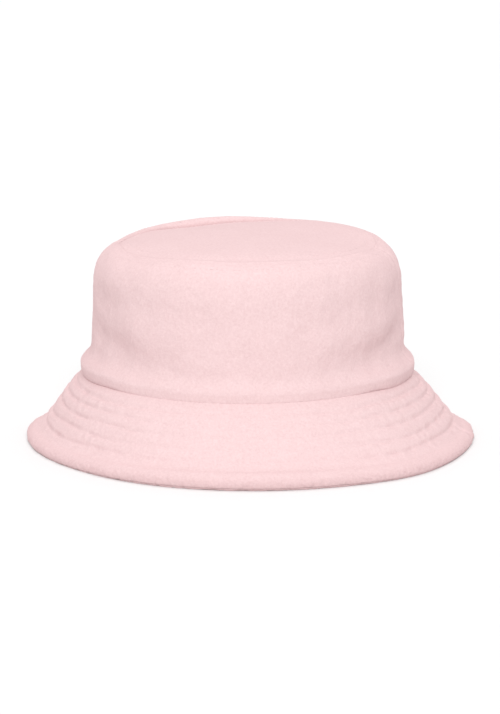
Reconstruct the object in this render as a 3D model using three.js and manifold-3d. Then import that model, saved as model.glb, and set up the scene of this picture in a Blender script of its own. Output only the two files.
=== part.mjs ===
// Bucket hat in towelling: a round crown tip, a crown wall and a stitched brim in front and back halves,
// a sweatband, seam tapes, labels and the rows of sewing thread.
// Millimetres. +Z is up, the hat stands on its brim edge at Z = 0, its front faces -Y and its side seams lie
// at +X and -X.
// Every ring is drawn as a section of radius and height, turned round Z, and then stretched front to back.
import * as THREE from "three";
import { mergeVertices } from "three/addons/utils/BufferGeometryUtils.js";
import Module from "manifold-3d";

const wasm = await Module();
wasm.setup();

// ---- Overall sizes. Radii are the hat's half widths, measured across it from side to side.
const depthRatio = 1.03; // front-to-back size over side-to-side size, an oval for the head
const seamRadius = 97; // crown-to-brim seam
const seamHeight = 42; // that seam above the table
const brimReach = 37.4; // from that seam out to the brim's edge
const crownHeight = 75.2; // from that seam up to the tip seam

// ---- Cloth
const clothThickness = 1.6; // one ply of towelling
const stiffenerThickness = 0.6; // interlining between the brim's two plies
const pieceGap = 0.3; // between pieces that are sewn together

// ---- Crown wall
const rollOverhang = 3; // how far the wall's lower edge rolls out over the brim
const rollHeight = 19; // height in which the roll runs into the waist
const waistInset = 3; // from the crown-to-brim seam in to the waist
const wallTaper = 1.2; // from the waist in to where the shoulder starts
const shoulderWidth = 16.5; // from there in to the tip seam
const shoulderDrop = 25; // from the tip seam down to where the shoulder starts
const rimWidth = 3; // small roll on either side of the tip seam
const rimRise = 1.9;
const rollHandles = [0.3, 0.4]; // heights of the curve's handles between the roll's side and the waist
const shoulderHandles = { rise: [0.5, 0.85], inset: 0.4 }; // the same from the shoulder's start to the rim
const tipDome = 2.4; // middle of the crown tip above its rim

// ---- Brim
const brimSwell = 0.4; // outward bow of the whole brim
const brimFlare = 0.8; // further bow that turns the edge up
const restWidth = 1.6; // flat on the edge that the hat stands on

// ---- Inside
const sweatbandHeight = 30;
const sweatbandThickness = 1.8; // cloth folded double
const tipTapeHeight = 8;
const tapeThickness = 0.8;
const sideTapeWidth = 14;
const labelThickness = 0.8; // satin folded double
const careLabel = { width: 28, height: 22, azimuth: 106 };
const sizeLabel = { width: 12, height: 14, azimuth: 90 };
const labelRaise = 3; // lower edge of the labels above the sweatband's lower edge

// ---- Sewing thread
const threadThickness = 0.5;
const brimRowShares = [0.16, 0.3, 0.44, 0.6, 0.75]; // of the way from the seam to the edge
const tipStitchOffset = 4.5; // rows of stitches beside the tip seam

// ---- How finely the rings are made
const ringSides = 48;
const brimSteps = 5;
const tightSteps = 3; // small rolls
const longSteps = 5; // long curves

// ---- Derived places
const edgeRadius = seamRadius + brimReach;
const waistRadius = seamRadius - waistInset;
const shoulderRadius = waistRadius - wallTaper;
const tipRadius = shoulderRadius - shoulderWidth;
const brimHalfThickness = stiffenerThickness / 2 + pieceGap + clothThickness;
const tipSeamHeight = seamHeight + crownHeight;
const wallBase = seamHeight + pieceGap / 2;
const waistTop = wallBase + rollHeight;
const sweatbandTop = wallBase + sweatbandHeight;
const bandDepth = clothThickness + pieceGap; // from the wall's outer face to what lies against its inner one
const restHalfAngle = Math.asin(restWidth / 2 / brimHalfThickness);

const towelling = new THREE.MeshStandardMaterial({ color: 0xefcfd2, roughness: 0.95, metalness: 0 });
const interlining = new THREE.MeshStandardMaterial({ color: 0xf4f1ec, roughness: 0.9, metalness: 0 });
const lining = new THREE.MeshStandardMaterial({ color: 0xeac8cc, roughness: 0.85, metalness: 0 });
const satin = new THREE.MeshStandardMaterial({ color: 0xf8f6f3, roughness: 0.5, metalness: 0 });
const thread = new THREE.MeshStandardMaterial({ color: 0xeac3c8, roughness: 0.6, metalness: 0 });

// ---- Lines and sections

// Points of a path: lines are kept whole, quadratic curves are short turns and cubic ones are long.
function pathPoints(path) {
  const stepsOn = (curve) => {
    if (curve.isLineCurve) return 1;
    return curve.isQuadraticBezierCurve ? tightSteps : longSteps;
  };
  return path.curves.flatMap((curve, i) => curve.getPoints(stepsOn(curve)).slice(i === 0 ? 0 : 1));
}

const outwards = new THREE.Vector2(1, 0);
const inwards = new THREE.Vector2(-1, 0);
const upwards = new THREE.Vector2(0, 1);
const downwards = new THREE.Vector2(0, -1);

// The line moved sideways, to its left for a positive distance. The ways at its two ends can be given.
function offsetLine(points, distance, startWay, endWay) {
  const last = points.length - 1;
  const endWays = { 0: startWay, [last]: endWay };
  return points.map((point, i) => {
    const before = points[Math.max(i - 1, 0)];
    const after = points[Math.min(i + 1, last)];
    const along = endWays[i] ?? after.clone().sub(before).normalize();
    return new THREE.Vector2(point.x - along.y * distance, point.y + along.x * distance);
  });
}

// A closed section between two lines that run the same way.
function bandSection(near, far) {
  return [...near, ...far.slice().reverse()];
}

// Part of a line that lies between two heights, with its ends cut exactly at them.
function between(points, low, high) {
  const cut = (a, b, z) => a.clone().lerp(b, (z - a.y) / (b.y - a.y));
  const kept = [];
  points.slice(1).forEach((b, i) => {
    const a = points[i];
    if (a.y <= low && b.y > low) kept.push(cut(a, b, low));
    if (b.y > low && b.y < high) kept.push(b.clone());
    if (a.y < high && b.y >= high) kept.push(cut(a, b, high));
  });
  return kept;
}

// Outer face of the crown wall, from the brim seam up and over to the tip seam.
function wallLine() {
  const rollRadius = seamRadius + rollOverhang;
  const rollSide = wallBase + rollOverhang;
  const shoulderStart = tipSeamHeight - shoulderDrop;
  const rimTop = tipSeamHeight + rimRise;
  const seamSide = tipRadius + pieceGap / 2;
  const path = new THREE.Path().moveTo(seamRadius, wallBase);
  path.quadraticCurveTo(rollRadius, wallBase, rollRadius, rollSide);
  const rollRise = rollHandles.map((share) => rollSide + share * (waistTop - rollSide));
  path.bezierCurveTo(rollRadius, rollRise[0], waistRadius, rollRise[1], waistRadius, waistTop);
  path.lineTo(shoulderRadius, shoulderStart);
  const shoulderRise = shoulderHandles.rise.map((share) => shoulderStart + share * (rimTop - shoulderStart));
  const rimSide = seamSide + rimWidth;
  const shoulderIn = THREE.MathUtils.lerp(shoulderRadius, rimSide, shoulderHandles.inset);
  path.bezierCurveTo(shoulderRadius, shoulderRise[0], shoulderIn, shoulderRise[1], rimSide, rimTop);
  path.quadraticCurveTo(seamSide, rimTop, seamSide, tipSeamHeight);
  return path;
}

const wallPoints = pathPoints(wallLine());
const wallFace = (depth) => offsetLine(wallPoints, depth, outwards, downwards);

// Outer face of the sweatband, from the brim seam up the inside of the wall.
function sweatbandPoints() {
  const waistSide = waistRadius - bandDepth;
  const foot = new THREE.Path().moveTo(seamRadius - pieceGap, wallBase);
  foot.quadraticCurveTo(waistSide, (wallBase + waistTop) / 2, waistSide, waistTop);
  return [...pathPoints(foot), ...between(wallFace(bandDepth), waistTop, sweatbandTop).slice(1)];
}

// Outer face of the crown tip, from its seam in to the axis.
function tipPoints() {
  const seamSide = tipRadius - pieceGap / 2;
  const rimTop = tipSeamHeight + rimRise;
  const path = new THREE.Path().moveTo(seamSide, tipSeamHeight);
  path.quadraticCurveTo(seamSide, rimTop, seamSide - rimWidth, rimTop);
  path.quadraticCurveTo(seamSide / 2, rimTop + tipDome, 0, rimTop + tipDome);
  return pathPoints(path);
}

// Middle of the brim's thickness at a share of the way from the seam to the edge.
const restDepth = brimHalfThickness * Math.cos(restHalfAngle);
const brimEnd = new THREE.Vector2(edgeRadius - brimHalfThickness, restDepth);
function brimMiddle(share) {
  const top = new THREE.Vector2(seamRadius, seamHeight - pieceGap / 2);
  const slope = brimEnd.clone().sub(top).normalize();
  const outward = new THREE.Vector2(-slope.y, slope.x);
  const start = top.addScaledVector(outward, -brimHalfThickness);
  const bow = brimSwell * Math.sin(Math.PI * share) + brimFlare * Math.sin(2 * Math.PI * share);
  return start.lerp(brimEnd, share).addScaledVector(outward, bow);
}

function brimLine() {
  return Array.from({ length: brimSteps + 1 }, (_, i) => brimMiddle(i / brimSteps));
}

// Direction of the brim at its edge, as an angle below the horizontal.
function brimEndAngle() {
  const back = brimEnd.clone().sub(brimMiddle(1 - 1 / brimSteps));
  return Math.atan2(back.y, back.x);
}

function arcPoints(centre, radius, from, to, steps) {
  return Array.from({ length: steps + 1 }, (_, i) => {
    const angle = THREE.MathUtils.lerp(from, to, i / steps);
    return new THREE.Vector2(centre.x + radius * Math.cos(angle), centre.y + radius * Math.sin(angle));
  });
}

// One ply of the brim, wrapped a quarter turn round the edge. side is 1 for the upper ply, -1 for the lower.
function brimPlySection(side) {
  const line = brimLine().slice(0, -1);
  const inner = brimHalfThickness - clothThickness;
  const endAngle = brimEndAngle();
  const square = endAngle + (side * Math.PI) / 2;
  const meeting = (radius) => endAngle + (side * pieceGap) / 2 / radius;
  const turn = (from, to, steps) => arcPoints(brimEnd, brimHalfThickness, from, to, steps);
  const down = -Math.PI / 2;
  const end = meeting(brimHalfThickness);
  const upperTurn = () => turn(square, end, tightSteps);
  const lowerTurn = () => [...turn(square, down - restHalfAngle, 1), ...turn(down + restHalfAngle, end, 1)];
  const innerTurn = arcPoints(brimEnd, inner, square, meeting(inner), tightSteps - 1);
  return [
    ...offsetLine(line, side * brimHalfThickness),
    ...(side > 0 ? upperTurn() : lowerTurn()),
    ...innerTurn.reverse(),
    ...offsetLine(line, side * inner).reverse(),
  ];
}

// ---- Solids

// A section turned once round Z and stretched into the oval, as a solid.
function ring(section) {
  const closed = section[0].x === 0 ? section : [...section, section[0]];
  const area = THREE.ShapeUtils.area(section);
  const lathe = new THREE.LatheGeometry(area > 0 ? closed : closed.reverse(), ringSides);
  lathe.rotateX(Math.PI / 2).scale(1, depthRatio, 1);
  return solidOf(lathe);
}

function solidOf(geometry) {
  geometry.deleteAttribute("normal");
  geometry.deleteAttribute("uv");
  const merged = mergeVertices(geometry, 1e-4);
  const mesh = new wasm.Mesh({
    numProp: 3,
    vertProperties: merged.attributes.position.array,
    triVerts: new Uint32Array(merged.index.array),
  });
  return new wasm.Manifold(mesh);
}

// A box given by its lowest and highest corners, turned about Z by an angle in degrees.
function box(low, high, azimuth = 0) {
  const size = high.map((value, i) => value - low[i]);
  const geometry = new THREE.BoxGeometry(...size);
  geometry.translate(...low.map((value, i) => value + size[i] / 2));
  geometry.rotateZ(THREE.MathUtils.degToRad(azimuth));
  return solidOf(geometry);
}

const beyond = 2 * edgeRadius * depthRatio; // past every face of the hat

function frontHalf(solid) {
  return solid.intersect(box([-beyond, -beyond, -beyond], [beyond, -pieceGap / 2, beyond]));
}

function backHalf(solid) {
  return solid.intersect(box([-beyond, pieceGap / 2, -beyond], [beyond, beyond, beyond]));
}

// The part of a ring that lies within a width at an azimuth.
function patch(band, width, azimuth) {
  return band.intersect(box([0, -width / 2, -beyond], [beyond, width / 2, beyond], azimuth));
}

// A ring of thread on the outside of a line, at one of its points.
function threadRing(point, outward) {
  const centre = point.clone().addScaledVector(outward, pieceGap + threadThickness / 2);
  return ring(arcPoints(centre, threadThickness / 2, 0, (4 * Math.PI) / 3, 2));
}

// Point and outward direction on a line at a length from its start.
function stationOn(points, length) {
  let left = length;
  for (let i = 1; i < points.length; i += 1) {
    const step = points[i].clone().sub(points[i - 1]);
    if (left <= step.length() || i === points.length - 1) {
      const along = step.clone().normalize();
      const point = points[i - 1].clone().addScaledVector(along, left);
      return { point, along };
    }
    left -= step.length();
  }
  throw new Error("the line has no length");
}

const hat = new THREE.Group();
hat.name = "bucket_hat";

function add(name, solid, material) {
  const { numProp, vertProperties, triVerts } = solid.getMesh();
  const geometry = new THREE.BufferGeometry();
  const positions = Float32Array.from(
    { length: (vertProperties.length / numProp) * 3 },
    (_, i) => vertProperties[Math.floor(i / 3) * numProp + (i % 3)],
  );
  geometry.setAttribute("position", new THREE.BufferAttribute(positions, 3));
  geometry.setIndex(new THREE.BufferAttribute(triVerts, 1));
  geometry.computeVertexNormals();
  const mesh = new THREE.Mesh(geometry, material);
  mesh.name = name;
  hat.add(mesh);
}

function addHalves(name, solid, material) {
  add(name + "_front", frontHalf(solid), material);
  add(name + "_back", backHalf(solid), material);
}

// ---- Crown
function addCrown() {
  const outer = tipPoints();
  const inner = offsetLine(outer, clothThickness, upwards, inwards);
  add("crown_tip", ring([...outer.reverse(), ...inner]), towelling);
  addHalves("crown_side", ring(bandSection(wallPoints, wallFace(clothThickness))), towelling);
}

// ---- Brim
function addBrim() {
  addHalves("brim_top", ring(brimPlySection(1)), towelling);
  addHalves("brim_under", ring(brimPlySection(-1)), towelling);
  const line = brimLine();
  const lower = offsetLine(line, -stiffenerThickness / 2);
  const upper = offsetLine(line, stiffenerThickness / 2);
  addHalves("brim_stiffener", ring(bandSection(lower, upper)), interlining);
}

// ---- Inside of the crown
function addSweatband() {
  const outer = sweatbandPoints();
  const band = ring(bandSection(outer, offsetLine(outer, sweatbandThickness, undefined, upwards)));
  const join = box([-pieceGap / 2, 0, -beyond], [pieceGap / 2, beyond, beyond]);
  add("sweatband", band.subtract(join), lining);
}

function addTipTape() {
  const top = tipSeamHeight - pieceGap;
  const halfWidth = pieceGap / 2 + clothThickness;
  const outer = [new THREE.Vector2(tipRadius + halfWidth, top - tipTapeHeight)];
  outer.push(new THREE.Vector2(tipRadius + halfWidth, top));
  add("tip_seam_tape", ring(bandSection(outer, offsetLine(outer, 2 * halfWidth))), lining);
}

function addSideTapes() {
  const face = (depth) => between(wallFace(depth), sweatbandTop + pieceGap, tipSeamHeight - shoulderDrop / 2);
  const band = ring(bandSection(face(bandDepth), face(bandDepth + tapeThickness)));
  add("side_seam_tape_right", patch(band, sideTapeWidth, 0), lining);
  add("side_seam_tape_left", patch(band, sideTapeWidth, 180), lining);
}

function addLabels() {
  const labels = { care_label: careLabel, size_label: sizeLabel };
  const line = sweatbandPoints();
  const foot = wallBase + labelRaise;
  const near = sweatbandThickness + pieceGap;
  for (const [name, { width, height, azimuth }] of Object.entries(labels)) {
    const face = (depth) => between(offsetLine(line, depth), foot, foot + height);
    const band = ring(bandSection(face(near), face(near + labelThickness)));
    add(name, patch(band, width, azimuth), satin);
  }
}

// ---- Rows of stitches
function addStitches() {
  brimRowShares.forEach((share, i) => {
    const here = brimMiddle(share);
    const nudge = 1 / brimSteps / 2;
    const along = brimMiddle(share + nudge).sub(brimMiddle(share - nudge)).normalize();
    const outward = new THREE.Vector2(-along.y, along.x);
    const onTop = here.addScaledVector(outward, brimHalfThickness);
    add("brim_stitch_row_" + (i + 1), threadRing(onTop, outward), thread);
  });
  const rows = {
    tip_stitch_upper: { line: tipPoints(), side: -1 },
    tip_stitch_lower: { line: [...wallPoints].reverse(), side: 1 },
  };
  for (const [name, { line, side }] of Object.entries(rows)) {
    const { point, along } = stationOn(line, tipStitchOffset);
    const outward = new THREE.Vector2(-along.y * side, along.x * side);
    add(name, threadRing(point, outward), thread);
  }
}

addCrown();
addBrim();
addSweatband();
addTipTape();
addSideTapes();
addLabels();
addStitches();

export default hat;
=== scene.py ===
"""A towelling bucket hat: crown, stitched brim, sweatband, tapes, labels and rows of thread.

Metres, +Z up, front at -Y. Every cloth piece is a closed shell: a line of radius and height is swept
round the crown's axis, given its thickness, and then set into the hat's own oval and uneven stance.
"""
import math

import bmesh
import bpy
import numpy as np
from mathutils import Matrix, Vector


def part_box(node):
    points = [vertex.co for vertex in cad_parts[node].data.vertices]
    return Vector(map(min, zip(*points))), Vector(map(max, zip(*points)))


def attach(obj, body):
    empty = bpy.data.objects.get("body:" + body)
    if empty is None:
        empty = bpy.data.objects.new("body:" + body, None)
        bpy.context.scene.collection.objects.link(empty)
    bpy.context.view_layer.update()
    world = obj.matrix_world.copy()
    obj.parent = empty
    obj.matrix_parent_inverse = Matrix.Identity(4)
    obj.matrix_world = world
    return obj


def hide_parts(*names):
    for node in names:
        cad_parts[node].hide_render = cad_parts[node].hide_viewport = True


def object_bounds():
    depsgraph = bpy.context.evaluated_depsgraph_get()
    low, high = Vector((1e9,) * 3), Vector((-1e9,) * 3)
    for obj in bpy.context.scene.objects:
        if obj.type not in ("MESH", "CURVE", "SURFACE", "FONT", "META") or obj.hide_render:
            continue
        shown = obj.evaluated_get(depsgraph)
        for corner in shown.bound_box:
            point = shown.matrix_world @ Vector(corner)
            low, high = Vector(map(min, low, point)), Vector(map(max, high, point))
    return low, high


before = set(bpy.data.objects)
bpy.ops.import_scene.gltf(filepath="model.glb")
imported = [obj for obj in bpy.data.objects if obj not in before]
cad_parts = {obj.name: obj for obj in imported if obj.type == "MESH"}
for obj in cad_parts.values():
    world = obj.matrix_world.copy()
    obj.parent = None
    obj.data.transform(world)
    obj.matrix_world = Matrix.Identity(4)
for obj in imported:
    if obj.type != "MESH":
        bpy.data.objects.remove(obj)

CAD_LOW, CAD_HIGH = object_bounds()
MM = 0.001

# ---- Sizes read from the frame
wall_low, wall_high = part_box("crown_side_front")
tip_low, tip_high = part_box("crown_tip")
brim_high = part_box("brim_top_front")[1]
band_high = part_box("sweatband")[1]
DEPTH_RATIO = (CAD_HIGH.y - CAD_LOW.y) / (CAD_HIGH.x - CAD_LOW.x)
ROLL_RADIUS = wall_high.x
WALL_FOOT = wall_low.z
TIP_RADIUS = tip_high.x
TIP_SEAM = tip_low.z
EDGE_RADIUS = brim_high.x
BAND_TOP = band_high.z

# ---- Cloth
CLOTH = 1.6 * MM
STIFFENER = 0.6 * MM
GAP = 0.04 * MM
BRIM_HALF = 2.2 * MM  # half the brim's thickness between its edge and its seam
BAND_THICKNESS = 1.8 * MM
BAND_INSET = 3.6 * MM  # from the brim seam in to the sweatband's foot
TAPE_THICKNESS = 0.8 * MM
LABEL_THICKNESS = 0.5 * MM
ROLL_OVERHANG = 3.0 * MM
SEAM_RADIUS = ROLL_RADIUS - ROLL_OVERHANG
SEAM_HEIGHT = WALL_FOOT - 1.3 * MM
SEAM_DIP = 0.5 * MM  # how deep a side seam lies in the cloth
SEAM_SWELL = 0.3 * MM  # how far the cloth stands up beside it
TAPE_CUT = 10 * MM
SIDE_TAPE_WIDTH = 14 * MM
CARE_LABEL = (28 * MM, 22 * MM)
SIZE_LABEL = (12 * MM, 14 * MM)
LABEL_LIFT = 3 * MM  # from the wall's foot up to the labels
EDGE_HALF = 2.8 * MM  # half the brim's thickness at its edge, where the turned seam allowances lie
FRONT_FULLNESS = 1.6 * MM  # how much more that is in front
EDGE_SETTLE = 0.8 * MM  # how far the soft edge is flattened on the table
EDGE_SEAM_ANGLE = 0.03  # half the gap in radians that the two plies leave along the edge
TABLE_GAP = 0.02 * MM

# ---- Crown wall
WAIST_INSET = 3.9 * MM
WAIST_FULLNESS = 1.0 * MM  # how much less that is in front
ROLL_HEIGHT = 15.5 * MM
WALL_TAPER = 1.2 * MM
SHOULDER_DROP = 25.0 * MM
RIM_WIDTH = 3.0 * MM
BACK_RIM_WIDTH = 5.5 * MM  # how much wider the rim is at the back, where it stands up over the tip
RIM_DROP = 1.2 * MM  # from the tip seam down to the rim, where the top falls away evenly
BACK_RISE = 4.0 * MM  # how far the rim's back stands over its front
SEAM_SINK = 0.5 * MM
TIP_DOME = 5.0 * MM
TIP_ROW_GAP = 6.0 * MM  # from the tip seam to the row of stitches on each side of it
TIP_ROW_WANDER = 0.5 * MM

# ---- Brim
ROW_SHARES = (0.16, 0.30, 0.44, 0.60, 0.75)
CHANNEL_DEPTH = 0.8 * MM
CHANNEL_WIDTH = 1.3 * MM
CHANNEL_WANDER = 0.45 * MM  # how far a row strays from its even line
PUCKER = 0.12 * MM
PUFF = 0.3 * MM
BRIM_SAG = -0.8 * MM
BRIM_FLARE = 1.0 * MM
THREAD_LIFT = 0.02 * MM  # how far the brim's stitches press in and the tip's stand out
EDGE_HOLLOW = 1.1 * MM

# ---- Camera
CAMERA_TURN = math.radians(10.0)
CAMERA_RISE = math.radians(11.65)
CAMERA_REACH = 1.3
CAMERA_AIM = Vector((0.0, 0.0, 0.0467))
LENS_MM = 108.9

# ---- Light
WORLD_LIGHT = 0.45
KEY_LIGHT = 2.12
TOP_LIGHT = 1.45
FLOOR_PALE = 0.80
FLOOR_REACH = 40.0

SPACING = 0.65 * MM  # between points of the outer faces
INNER_STEP = 6  # one point on an inner face for so many on the outer one


# ---------------------------------------------------------------- lines

def bezier(a, b, c, d, count):
    """Points on a cubic curve for each azimuth. The controls are (r, z) pairs of numbers or arrays."""
    t = np.linspace(0.0, 1.0, count)[None, :]
    weights = ((1 - t) ** 3, 3 * t * (1 - t) ** 2, 3 * t * t * (1 - t), t ** 3)
    axes = []
    for axis in (0, 1):
        axes.append(sum(w * np.reshape(p[axis], (-1, 1)) for w, p in zip(weights, (a, b, c, d))))
    return np.stack(np.broadcast_arrays(*axes), axis=-1)


def chain(*curves):
    """Curves that follow each other as one line, the shared points once."""
    rows = max(len(c) for c in curves)
    parts = [np.broadcast_to(c, (rows,) + c.shape[1:]) for c in curves]
    return np.concatenate([parts[0]] + [p[:, 1:] for p in parts[1:]], axis=1)


def normals_of(line):
    """Directions to the left of a line's way, one at each point."""
    along = np.gradient(line, axis=1)
    along /= np.maximum(np.linalg.norm(along, axis=2, keepdims=True), 1e-12)
    return np.stack([-along[..., 1], along[..., 0]], axis=-1)


def offset(line, distance):
    return line + normals_of(line) * distance


def lengths_of(line):
    steps = np.linalg.norm(np.diff(line, axis=1), axis=2)
    return np.concatenate([np.zeros((len(line), 1)), np.cumsum(steps, axis=1)], axis=1)


def wander(azimuth, lowest, highest, seed):
    """A smooth random wave round the hat that repeats after one turn, about 1 high."""
    random = np.random.RandomState(seed)
    waves = np.arange(lowest, highest + 1)[:, None]
    size, phase = random.normal(size=waves.shape), random.uniform(0, 2 * math.pi, waves.shape)
    return (size * np.cos(waves * azimuth[None, :] + phase)).sum(0) * math.sqrt(2 / len(waves))


def bell(distance, width):
    return np.exp(-((distance / width) ** 2))


def smooth(value, low, high):
    t = np.clip((value - low) / (high - low), 0.0, 1.0)
    return t * t * (3 - 2 * t)


def turned(azimuth, degrees):
    """How far an azimuth is from a direction that is given from the camera's right, in degrees."""
    away = azimuth - CAMERA_TURN - math.radians(degrees)
    return np.degrees((away + math.pi) % (2 * math.pi) - math.pi)


def seam_height(azimuth):
    """Height of the tip seam, which is sunk behind the rim at the back."""
    return TIP_SEAM - SEAM_SINK * bell(turned(azimuth, 113), 36)


def groove(azimuth):
    """Depth of the small valley in which the tip seam lies."""
    return (0.1 + 1.0 * bell(turned(azimuth, 105), 42)) * MM


def wall_line(azimuth):
    """Outer face of the crown wall, from the brim seam up and over into the tip seam."""
    one = np.ones_like(azimuth)
    front = bell(turned(azimuth, -90), 50)
    around = turned(azimuth, 0)
    shallow = smooth(around, -168, -122) * (1 - smooth(around, -55, -28))
    overhang = ROLL_OVERHANG * (1 - 0.88 * shallow)
    roll_side = SEAM_RADIUS + overhang
    waist = SEAM_RADIUS - WAIST_INSET + WAIST_FULLNESS * front
    right = bell(turned(azimuth, 0), 50)
    shoulder = SEAM_RADIUS - WAIST_INSET - WALL_TAPER - 0.8 * MM * right
    waist_top = WALL_FOOT + ROLL_HEIGHT
    shoulder_foot = TIP_SEAM - SHOULDER_DROP
    back = bell(turned(azimuth, 109), 38)
    rise = BACK_RISE * back
    rim = TIP_SEAM - RIM_DROP + rise
    rim_side = TIP_RADIUS + RIM_WIDTH + BACK_RIM_WIDTH * back
    rim_run = 0.68 * (shoulder - rim_side)
    rim_climb = 2.4 * MM + 0.3 * rise
    seam = seam_height(azimuth)
    inner_rise = seam + 0.75 * np.maximum(rim - seam, 0) - 0.06 * MM
    contact = SEAM_RADIUS + overhang - 1.5 * MM
    contact = np.maximum(contact, SEAM_RADIUS + 0.2 * MM)
    under = SEAM_HEIGHT - 1.02 * (contact - SEAM_RADIUS) + (0.2 - 0.14 * shallow) * MM
    bulge = roll_side - contact
    side = under + (6.0 - 2.2 * shallow) * MM
    return chain(
        bezier(
            ((SEAM_RADIUS - 1.5 * MM) * one, (SEAM_HEIGHT + 0.9 * MM) * one),
            ((SEAM_RADIUS - 0.5 * MM) * one, (SEAM_HEIGHT + 0.6 * MM) * one),
            (contact - 1.0 * MM, under + 1.0 * MM),
            (contact, under),
            6,
        ),
        bezier(
            (contact, under),
            (contact + 0.5 * bulge, under - 0.2 * bulge),
            (roll_side, side - 3.6 * MM),
            (roll_side, side),
            9,
        ),
        bezier(
            (roll_side, side),
            (roll_side, side + 0.3 * (waist_top - side)),
            (waist, side + 0.4 * (waist_top - side)),
            (waist, waist_top),
            30,
        ),
        bezier(
            (waist, waist_top),
            (waist, waist_top + 10 * MM),
            (shoulder + 0.2 * MM, shoulder_foot - 10 * MM),
            (shoulder, shoulder_foot),
            50,
        ),
        bezier(
            (shoulder, shoulder_foot),
            (shoulder, shoulder_foot + 0.52 * (rim - shoulder_foot)),
            (rim_side + rim_run, rim - rim_climb),
            (rim_side, rim),
            52,
        ),
        bezier(
            (rim_side, rim),
            (rim_side - (1.3 + 2.2 * back) * MM, rim + 1.3 * MM * rim_climb / rim_run),
            (TIP_RADIUS + (0.6 + 0.8 * back) * MM, inner_rise),
            ((TIP_RADIUS + GAP) * one, seam - groove(azimuth)),
            14,
        ),
    )


def tip_line(azimuth):
    """Outer face of the crown tip, from its seam in to the axis."""
    one = np.ones_like(azimuth)
    slope = 0.14 + 0.2 * bell(turned(azimuth, -90), 60)
    side = (TIP_RADIUS - GAP) * one
    seam = seam_height(azimuth)
    start = seam + 0.3 * MM
    top = (TIP_SEAM + TIP_DOME) * one
    return chain(
        bezier(
            (side, seam - groove(azimuth)),
            (side - 0.4 * MM, seam),
            (side - 1.5 * MM, start - 1.5 * MM * slope),
            (side - RIM_WIDTH, start),
            8,
        ),
        bezier(
            (side - RIM_WIDTH, start),
            (side - 15 * MM, start + 12 * MM * slope),
            (35 * MM * one, top),
            (0.0 * one, top),
            105,
        ),
    )


def edge_half(azimuth):
    return EDGE_HALF + FRONT_FULLNESS * bell(turned(azimuth, -90), 50)


def brim_middle(azimuth, shares):
    """Middle of the brim's thickness at shares of the way from the seam to the edge."""
    top = np.array([SEAM_RADIUS, SEAM_HEIGHT])
    run = np.array([EDGE_RADIUS - EDGE_HALF, EDGE_HALF]) - top
    outward = np.array([-run[1], run[0]]) / np.linalg.norm(run)
    start = top - outward * BRIM_HALF
    half = edge_half(azimuth)
    end = np.stack([EDGE_RADIUS - half, half - EDGE_SETTLE], axis=1)[:, None]
    bow = BRIM_SAG * np.sin(math.pi * shares) + BRIM_FLARE * np.sin(2 * math.pi * shares)
    bow = bow - EDGE_HOLLOW * bell(shares - 0.86, 0.13) * (1 - smooth(shares, 0.9, 1.0))
    return start + (end - start) * shares[None, :, None] + outward * bow[None, :, None]


def brim_half(azimuth, shares):
    """Half the brim's thickness, which grows over the turned allowances at its edge."""
    growth = edge_half(azimuth)[:, None] - BRIM_HALF
    return BRIM_HALF + growth * smooth(shares, 0.74, 1.0)


def channels(azimuth, shares, seed):
    """Height of the puffed cloth over the brim's plain face: low along each row, full between rows."""
    slant = np.linalg.norm(
        np.array([EDGE_RADIUS - BRIM_HALF, BRIM_HALF]) - np.array([SEAM_RADIUS, SEAM_HEIGHT])
    )
    height = np.zeros((len(azimuth), len(shares)))
    calm = 1 - 0.75 * bell(turned(azimuth, -92), 48)
    for i, share in enumerate(ROW_SHARES):
        stray = CHANNEL_WANDER * wander(azimuth, 3, 16, seed + 10 + i)
        away = (shares[None, :] - share) * slant - stray[:, None]
        pull = np.clip(wander(azimuth, 14, 60, seed + i), -1.5, 1.5)
        depth = CHANNEL_DEPTH * calm * (1 + 0.35 * pull)
        height -= depth[:, None] * bell(away, CHANNEL_WIDTH)
        pucker = PUCKER * calm * wander(azimuth, 40, 130, seed + 20 + i)
        height += pucker[:, None] * bell(away - 2.5 * MM, 3.0 * MM)
    edges = np.array((0.0,) + ROW_SHARES)
    spot = np.clip(np.searchsorted(edges, shares, side="right") - 1, 0, len(edges) - 2)
    within = np.clip((shares - edges[spot]) / (edges[spot + 1] - edges[spot]), 0, 1)
    return height + PUFF * calm[:, None] * np.sin(math.pi * within)[None, :]


# ---------------------------------------------------------------- the hat's own stance

# Soft swells of the crown, outwards positive: direction from the camera's right in degrees, height,
# how wide and tall each is, and how far it stands out. Heights and depths are in millimetres.
SWELLS = (
    (-131, 76, 13, 10, 1.1),
    (-152, 87, 9, 9, -1.2),
    (-37, 76, 13, 9, 1.6),
    (-60, 72, 12, 7, 0.4),
    (-64, 104, 9, 4, -0.35),
    (-100, 88, 30, 16, 0.3),
    (-168, 112, 9, 8, -1.5),
    (-143, 114, 10, 7, -1.3),
    (-14, 84, 7, 24, -0.7),
    (8, 82, 12, 26, 1.8),
    (60, 70, 16, 10, -0.8),
    (100, 85, 18, 12, 0.6),
    (140, 64, 16, 7, -0.9),
)
# Creases pressed into the crown: the direction and height of each of their points, width and depth.
CREASES = (
    (((-172, 72), (-152, 65.5), (-136, 61), (-108, 57)), 8.5, 2.6),
    (((-10, 72), (-28, 63.5), (-42, 60), (-68, 56)), 8.0, 2.5),
    (((35, 72), (58, 62), (85, 58)), 5.0, 1.4),
    (((120, 60), (148, 66), (172, 76)), 5.0, 1.2),
)
SKEW = 0.02  # how far the brim's front lies to the side, for each metre that it reaches forwards
BACK_NARROW = 0.04  # share of the brim's width that its back lacks
BRIM_SHORT = 0.009  # share of the brim's reach that its front lacks
CORNER_REACH = 3.0 * MM  # how far the brim stands out at its right front corner
LEAN = 1.5 * MM
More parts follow.
